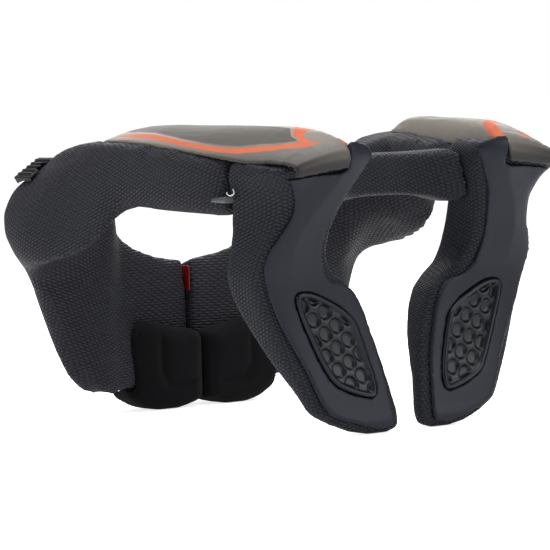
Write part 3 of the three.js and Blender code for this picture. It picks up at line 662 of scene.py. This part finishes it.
# %% Fins and bridge
fin_left = soft_piece("fin_left", "padded_fin_left", 2.6, 9, 0)
fin_right = mirrored_piece(fin_left, "padded_fin_right")
wear(fin_left, fin_knit, "knit", "fin_left")
wear(fin_right, fin_knit, "knit", "fin_right")
bridge = soft_piece("back_bridge", "padded_bridge", 2.4, 12, 1.0)
wear(bridge, fin_knit, "knit", "back_bridge")
print("fin", len(fin_left.data.polygons), "bridge", len(bridge.data.polygons), "faces")

# %% [markdown]
# ## Chest pads
# The pads at the foot of the chest panels are covered in brushed cloth, nearly black, with a fine
# nap instead of cells.

# %% Chest pads
nap = Finish("brushed_cloth", Sheen_Weight=0.03, Sheen_Roughness=0.5, Specular_IOR_Level=0.12)
nap_cloud = nap.noise(30, 3)
nap_fibre = nap.noise(700, 3, 0.7)
nap_shade = nap_cloud * 0.6 + nap_fibre * 0.4
nap.paint("Base Color", nap_shade.mix((0.0008, 0.0008, 0.0012, 1), (0.005, 0.005, 0.0065, 1)))
nap.paint("Roughness", 0.8 + nap_fibre * 0.2)
nap.relief(nap_fibre, 0.4, 0.25 * MM)
pad_left = soft_piece("chest_pad_left", "padded_chest_left", 2.0, 6, 0.8)
pad_right = mirrored_piece(pad_left, "padded_chest_right")
for piece, node in ((pad_left, "chest_pad_left"), (pad_right, "chest_pad_right")):
    wear(piece, nap, "pad_cloth", node)
print("pad", len(pad_left.data.polygons), "faces")

# %% [markdown]
# ## Hard covers
# Plates, vents and top shells are thin mouldings with softly broken edges. One finish serves the
# plain ones: an even colour, a faint grain and a gloss that changes a little from wear.

# %% Moulded plastic finish
def moulded(name, low, high, roughness, grain=0.06, gloss=0.3):
    finish = Finish(name, Specular_IOR_Level=gloss)
    cloud = finish.noise(9, 3)
    fine = finish.noise(1500, 2)
    wear_marks = finish.noise(60, 5, 0.7).step(0.58, 0.72)
    finish.paint("Base Color", cloud.mix(low, high))
    finish.paint("Roughness", roughness + cloud * 0.08 + wear_marks * 0.06)
    finish.relief(fine, grain, 0.2 * MM)
    return finish


plate_finish = moulded(
    "plate_plastic", (0.005, 0.0067, 0.014, 1), (0.0078, 0.010, 0.0195, 1), 0.36, 0.06, 0.26,
)
vent_finish = moulded(
    "vent_plastic", (0.0025, 0.0033, 0.007, 1), (0.004, 0.0052, 0.010, 1), 0.26, 0.06, 0.32,
)
print("plastic ready")


# %% [markdown]
# ## Laying a cover on a fin
# A plate follows the back of its fin, so it starts as a flat grid in the shape of its outline. The
# grid is laid on the fin's smooth surface, lifted by the height that each point should have, given a
# wall, and re-skinned so that every edge is softly broken.

# %% Laying a cover
PLATE_CORNERS = [
    (44, 179), (50.5, 166), (58, 153), (62, 143), (66, 127), (65.5, 116),
    (61, 103.5), (54, 97.5), (44.5, 94.5), (37.5, 90), (31, 79), (25.5, 62),
    (20.7, 44), (18, 26), (16.5, 10), (19, 5), (30, 4), (47, 8),
    (61, 12.5), (67.5, 17.5), (73, 27), (80, 44), (91, 65), (98, 80),
    (103.5, 95), (107, 108), (105, 119), (99, 130), (94.5, 142), (96, 152),
    (103, 162), (105.5, 163.8), (85, 166.2), (65.5, 168.6), (64, 176), (63.5, 183),
    (54, 183),
]
WINDOW_CORNERS = [
    (82.5, 91), (71, 91.5), (54, 84), (43.5, 77), (37.5, 69.5), (32.5, 54),
    (28, 36), (27.8, 26), (32, 22.5), (45, 25.5), (58, 31.5), (65, 40),
    (74, 59), (82.5, 81),
]
FIT_GAP = 0.3
OUTLINE_MARGIN = 2
SNAP_SHARE = 0.72
BEHIND_ALL_Y = 1
FIN_BACK_Y = 0.12
plate_edge = rounded_outline(PLATE_CORNERS)
window_edge = rounded_outline(WINDOW_CORNERS, 6)


def lay_cover(name, outline, window, square, height_at):
    corners = np.array(outline)
    low, high = corners.min(0) - OUTLINE_MARGIN, corners.max(0) + OUTLINE_MARGIN
    across, down = ((high - low) / square).astype(int)
    bm = bmesh.new()
    bmesh.ops.create_grid(bm, x_segments=int(across), y_segments=int(down), size=0.5)
    plan = np.array([(v.co.x + 0.5, v.co.y + 0.5) for v in bm.verts]) * (high - low) + low
    keep = np.ones(len(plan), bool)
    for edge, side in ((outline, -1), (window, 1)):
        if edge is not None:
            gap, near = nearest_on_outline(plan, edge)
            close = abs(gap) < square * SNAP_SHARE
            plan[close] = near[close]
            keep &= close | (gap * side > 0)
    height = height_at(plan)
    lift = bm.verts.layers.float_vector.new("lift")
    for vert, (x, z), tall in zip(bm.verts, plan, height):
        start = Vector((x * MM, BEHIND_ALL_Y, z * MM))
        spot, way, _, _ = fin_smooth.ray_cast(start, Vector((0, -1, 0)))
        if spot is None:
            spot, way, _, _ = fin_smooth.find_nearest(Vector((x * MM, FIN_BACK_Y, z * MM)))
        if way.y < 0:
            way = -way
        vert.co = spot + way * tall * MM
        vert[lift] = way * (tall - FIT_GAP) * MM
    bmesh.ops.delete(bm, geom=[v for v, k in zip(bm.verts, keep) if not k], context="VERTS")
    grown = bmesh.ops.extrude_face_region(bm, geom=bm.faces[:])
    for part in grown["geom"]:
        if isinstance(part, bmesh.types.BMVert):
            part.co -= part[lift]
    bmesh.ops.recalc_face_normals(bm, faces=bm.faces)
    mesh = bpy.data.meshes.new(name)
    bm.to_mesh(mesh)
    bm.free()
    piece = bpy.data.objects.new(name, mesh)
    scene.collection.objects.link(piece)
    reskin(piece, square * MM)
    relax(piece, 2)
    return piece


# %% [markdown]
# ## Fin plates
# Each plate has a ridge that starts at the top near the neck and sweeps down its outer side. The
# faces on both sides of it fall away, and they meet the light differently.

# %% Fin plates
PLATE_HEIGHT = 3.2
RIDGE_RISE = 1.3
RIDGE_SLOPE = 0.16
RIDGE_REACH = 16
RIDGE_FADE = (92, 140)
RIDGE_LINE = [
    (66, 184), (66.5, 172), (71, 160), (78, 149), (84, 139), (87.5, 130), (89, 118), (88, 105),
    (86, 90), (84, 78),
]


def plate_height(plan):
    away = gap_to_line(plan, np.array(fine_rows(RIDGE_LINE, 4)))
    fade = smooth_step(plan[:, 1], *RIDGE_FADE)
    return PLATE_HEIGHT + fade * (RIDGE_RISE - RIDGE_SLOPE * np.minimum(away, RIDGE_REACH)) + FIT_GAP


plate_left = lay_cover("fin_cover_left", plate_edge, window_edge, 1.1, plate_height)
plate_right = mirrored_piece(plate_left, "fin_cover_right")
print("plate", len(plate_left.data.polygons), "faces")

# %% [markdown]
# ## Vents
# A vent is a raised rim round a field of oval hollows in a slanting honeycomb. Its height is a sum:
# the rim, a shallow groove inside it, and the hollows pressed into the field.

# %% Vents
VENT_MIDDLE = np.array((54.0, 55.6))
VENT_DOWN = np.array((-8.3, -9.3))
VENT_ACROSS = np.array((9.0, -4.65))
VENT_REACH = 5
HOLLOW_WIDE, HOLLOW_LONG, HOLLOW_DEEP = 4.7, 5.5, 2.1
HOLLOW_WALL = (0.82, 1.02)
VENT_HEIGHT = 3.5
RIM_RISE, RIM_HALF, RIM_ROUND = 1.4, 1.7, 0.6
GROOVE_PLACE, GROOVE_HALF, GROOVE_DEPTH = 3.9, 0.6, 0.5
FIELD_FULL = 4.6


def vent_height(plan):
    inward = -gap_to_outline(plan, window_edge) - FIT_GAP
    long_way = VENT_DOWN / np.linalg.norm(VENT_DOWN)
    wide_way = np.array((long_way[1], -long_way[0]))
    reach = np.full(len(plan), FAR)
    for i in range(-VENT_REACH, VENT_REACH + 1):
        for j in range(-VENT_REACH, VENT_REACH + 1):
            off = plan - (VENT_MIDDLE + i * VENT_DOWN + j * VENT_ACROSS)
            oval = np.hypot(off @ long_way / HOLLOW_LONG, off @ wide_way / HOLLOW_WIDE)
            reach = np.minimum(reach, oval)
    field = smooth_step(inward, GROOVE_PLACE, FIELD_FULL)
    hollow = field * (1 - smooth_step(reach, *HOLLOW_WALL)) * HOLLOW_DEEP
    rim = RIM_RISE * np.clip(1 - ((inward - RIM_HALF) / RIM_HALF) ** 2, 0, 1) ** RIM_ROUND
    groove = GROOVE_DEPTH * (1 - smooth_step(abs(inward - GROOVE_PLACE), 0, GROOVE_HALF))
    return VENT_HEIGHT + rim - groove - hollow


def inset_outline(outline, distance):
    points = np.array(outline)
    along = np.roll(points, -1, axis=0) - np.roll(points, 1, axis=0)
    along /= np.linalg.norm(along, axis=1, keepdims=True)
    following = np.roll(points, -1, axis=0)
    area = np.sum(points[:, 0] * following[:, 1] - points[:, 1] * following[:, 0])
    inward = np.stack([-along[:, 1], along[:, 0]], 1) * np.sign(area)
    return [tuple(p) for p in points + inward * distance]


vent_left = lay_cover("vent_left", inset_outline(window_edge, FIT_GAP), None, 0.62, vent_height)
vent_right = mirrored_piece(vent_left, "vent_right")
print("vent", len(vent_left.data.polygons), "faces")

# %% [markdown]
# ## Top shells
# The shell's copy is trimmed behind its outer corner, re-skinned and carried over to the smooth
# sections, because its gloss would show any facet.

# %% Top shells
CORNER_CUT_PLACE = (0.1175, 0.118, 0.17)
CORNER_CUT_WAY = (0.936, 0.351, 0)


def shell_cover(node, name, square, ease=3):
    piece = copy_of_solid(node, name)
    bm = bmesh.new()
    bm.from_mesh(piece.data)
    cut = bmesh.ops.bisect_plane(
        bm, geom=bm.verts[:] + bm.edges[:] + bm.faces[:], plane_co=CORNER_CUT_PLACE,
        plane_no=CORNER_CUT_WAY, clear_outer=True,
    )
    rim = [part for part in cut["geom_cut"] if isinstance(part, bmesh.types.BMEdge)]
    bmesh.ops.holes_fill(bm, edges=rim)
    bm.to_mesh(piece.data)
    bm.free()
    reskin(piece, square * MM)
    carry_over(piece, shell_facets, shell_smooth)
    relax(piece, ease)
    return piece


shell_left = shell_cover("top_shell_left", "shoulder_cover_left", 1.1)

# %% [markdown]
# ## Stripe and panel on the top shells
# A plain orange stripe runs along the outer side of each shell and turns over its crest near the
# back. Beside it lies a shallow panel of duller plastic. Their outlines are drawn in plan, and each
# point of the shell keeps its distance to them, so the finish can cut a crisp edge at any size.

# %% Outlines in plan
STRIPE_OUTLINE = [
    (123.6, -30), (123.3, -18), (122.3, -8), (121.8, 4), (121.3, 16), (121.8, 30), (121.2, 50),
    (119.7, 67), (117, 83), (113.2, 98), (107.9, 110), (102.2, 121), (95.5, 129), (90, 132),
    (89.4, 128), (88.8, 123), (82, 114), (76, 108), (69, 120), (62.2, 134), (60, 140), (63, 148),
    (65.5, 142), (68, 133), (72, 125.5), (79, 123.5), (86, 127.5), (86.3, 132), (84.5, 136),
    (79, 139.8), (90.4, 137.6), (97.2, 133.4), (105.1, 125), (111.1, 114), (116.4, 102),
    (119.7, 87), (122.6, 71), (124.7, 54), (125.8, 36), (125.9, 21), (126, 6), (125.6, -10),
]
PANEL_OUTLINE = [
    (112, -14), (104, 10), (99.5, 25), (96, 36), (93, 50), (91.5, 62), (89.5, 80), (86.5, 97),
    (84.5, 108), (84, 113), (90.5, 122), (91, 129.5), (94.5, 127.5), (101, 119), (106.5, 108.5),
    (111.8, 97), (115.6, 82.5), (118.3, 67), (119.8, 50), (120.3, 30), (119.8, 16), (120.2, 4),
    (120, -10), (118, -18),
]


def keep_mark(piece, name, values):
    mark = piece.data.attributes.new(name, "FLOAT", "POINT")
    mark.data.foreach_set("value", values.astype(np.float32))


shell_plan = points_of(shell_left)[:, :2] / MM - np.array([0, FLOOR_SHIFT / MM])
keep_mark(shell_left, "stripe_gap", gap_to_outline(shell_plan, STRIPE_OUTLINE))
keep_mark(shell_left, "panel_gap", gap_to_outline(shell_plan, PANEL_OUTLINE))
shell_right = mirrored_piece(shell_left, "shoulder_cover_right")

# %% [markdown]
# ## Shell finish
# Along the crest a painted reflection of the sky makes the shells taupe; they fade to near black at
# the lower edge.

# %% Shell finish
CREST_REFLECTION_FADE = (168, 194)
shell_finish = Finish("shell_plastic", Specular_IOR_Level=0.3)
shell_cloud = shell_finish.noise(9, 3)
shell_grain = shell_finish.noise(1500, 2)
in_stripe = shell_finish.mark("stripe_gap").step(0.25, -0.25)
in_panel = shell_finish.mark("panel_gap").step(0.4, -0.4)
low_side = shell_cloud.mix((0.014, 0.013, 0.013, 1), (0.020, 0.018, 0.018, 1))
painted_crest_reflection = shell_cloud.mix((0.190, 0.170, 0.145, 1), (0.230, 0.206, 0.178, 1))
# Painted reflection: the crest is painted lighter than the lower side, as if the glossy top caught
# the sky.
cover = shell_finish.z.step(*CREST_REFLECTION_FADE).mix(low_side, painted_crest_reflection)
panel = shell_cloud.mix((0.055, 0.048, 0.039, 1), (0.070, 0.061, 0.050, 1))
orange = shell_cloud.mix((0.46, 0.082, 0.020, 1), (0.52, 0.096, 0.026, 1))
shell_finish.paint("Base Color", in_stripe.mix(in_panel.mix(cover, panel), orange))
shell_finish.paint("Roughness", 0.38 + in_panel * 0.06 + in_stripe * 0.06 + shell_cloud * 0.05)
panel_edge = shell_finish.mark("panel_gap").step(1.4, -1.4)
shell_finish.relief(shell_grain * 0.04 - panel_edge, 0.8, 0.5 * MM)
print("stripe and panel drawn")

# %% Dress the covers
for piece, finish, slot, node in (
    (plate_left, plate_finish, "plate_plastic", "fin_plate_left"),
    (plate_right, plate_finish, "plate_plastic", "fin_plate_right"),
    (vent_left, vent_finish, "vent_plastic", "fin_vent_left"),
    (vent_right, vent_finish, "vent_plastic", "fin_vent_right"),
    (shell_left, shell_finish, "shell_plastic", "top_shell_left"),
    (shell_right, shell_finish, "shell_plastic", "top_shell_right"),
):
    wear(piece, finish, slot, node)
print("plate", len(plate_left.data.polygons), "vent", len(vent_left.data.polygons),
      "shell", len(shell_left.data.polygons), "faces")

# %% [markdown]
# ## Small fittings
# The ribbed tabs, the strap anchors and the latch are small enough to be re-skinned as they are. The
# latch shows only as a sliver in the split.

# %% Small fittings
LATCH_SHARE = 0.5
tab_finish = moulded("tab_plastic", (0.006, 0.006, 0.007, 1), (0.011, 0.011, 0.013, 1), 0.5, 0.3)
anchor_finish = moulded(
    "anchor_plastic", (0.05, 0.052, 0.058, 1), (0.07, 0.072, 0.08, 1), 0.25, 0.03, 0.8,
)
latch_finish = moulded("latch_plastic", (0.13, 0.003, 0.003, 1), (0.17, 0.004, 0.004, 1), 0.35)


def small_piece(node, name, square, ease=2):
    piece = copy_of_solid(node, name)
    reskin(piece, square * MM)
    relax(piece, ease)
    return piece


tab_left = small_piece("shoulder_tab_left", "ribbed_tab_left", 0.5)
tab_right = mirrored_piece(tab_left, "ribbed_tab_right")
anchor_left = small_piece("strap_anchor_left", "anchor_left", 0.4)
anchor_right = mirrored_piece(anchor_left, "anchor_right")
latch = small_piece("front_latch", "red_latch", 0.5)
latch.data.transform(Matrix.Diagonal((LATCH_SHARE, 1, 1, 1)))
for piece, finish, slot, node in (
    (tab_left, tab_finish, "tab_plastic", "shoulder_tab_left"),
    (tab_right, tab_finish, "tab_plastic", "shoulder_tab_right"),
    (anchor_left, anchor_finish, "anchor_plastic", "strap_anchor_left"),
    (anchor_right, anchor_finish, "anchor_plastic", "strap_anchor_right"),
    (latch, latch_finish, "latch_plastic", "front_latch"),
):
    wear(piece, finish, slot, node)
print("fittings done")

# %% [markdown]
# ## Strap hooks
# Just above each anchor a small wire hook stands out of the arm. A circle is spun through a little
# more than half a turn, and both ends stay in the foam.

# %% Strap hooks
WIRE_RADIUS = 0.55
HOOK_RADIUS = 2.2
HOOK_ARC = math.radians(230)
HOOK_FACING = math.radians(-30)
HOOK_PLACE = (0.1222, 0.1015, 0.1562)
wire_finish = Finish("hook_wire", Metallic=1.0, Specular_IOR_Level=0.5)
wire_cloud = wire_finish.noise(200, 2)
wire_finish.paint("Base Color", wire_cloud.mix((0.5, 0.5, 0.52, 1), (0.7, 0.7, 0.72, 1)))
wire_finish.paint("Roughness", 0.2 + wire_cloud * 0.1)
bm = bmesh.new()
ring = bmesh.ops.create_circle(bm, segments=12, radius=WIRE_RADIUS * MM, cap_ends=True)
bmesh.ops.translate(bm, vec=(HOOK_RADIUS * MM, 0, 0), verts=ring["verts"])
bmesh.ops.spin(
    bm, geom=bm.verts[:] + bm.edges[:] + bm.faces[:], cent=(0, 0, 0), axis=(0, 1, 0), dvec=(0, 0, 0),
    angle=HOOK_ARC, steps=24, use_merge=False, use_duplicate=False,
)
bmesh.ops.recalc_face_normals(bm, faces=bm.faces)
bmesh.ops.transform(bm, matrix=Matrix.Rotation(HOOK_FACING, 4, "Z"), verts=bm.verts)
bmesh.ops.translate(bm, vec=HOOK_PLACE, verts=bm.verts)
hook_mesh = bpy.data.meshes.new("strap_hook_left")
bm.to_mesh(hook_mesh)
bm.free()
hook_mesh.shade_smooth()
hook_left = bpy.data.objects.new("strap_hook_left", hook_mesh)
scene.collection.objects.link(hook_left)
hook_right = mirrored_piece(hook_left, "strap_hook_right")
for piece in (hook_left, hook_right):
    wire_finish.put_on(piece)
    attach(piece, ROOT)
print("hooks done")
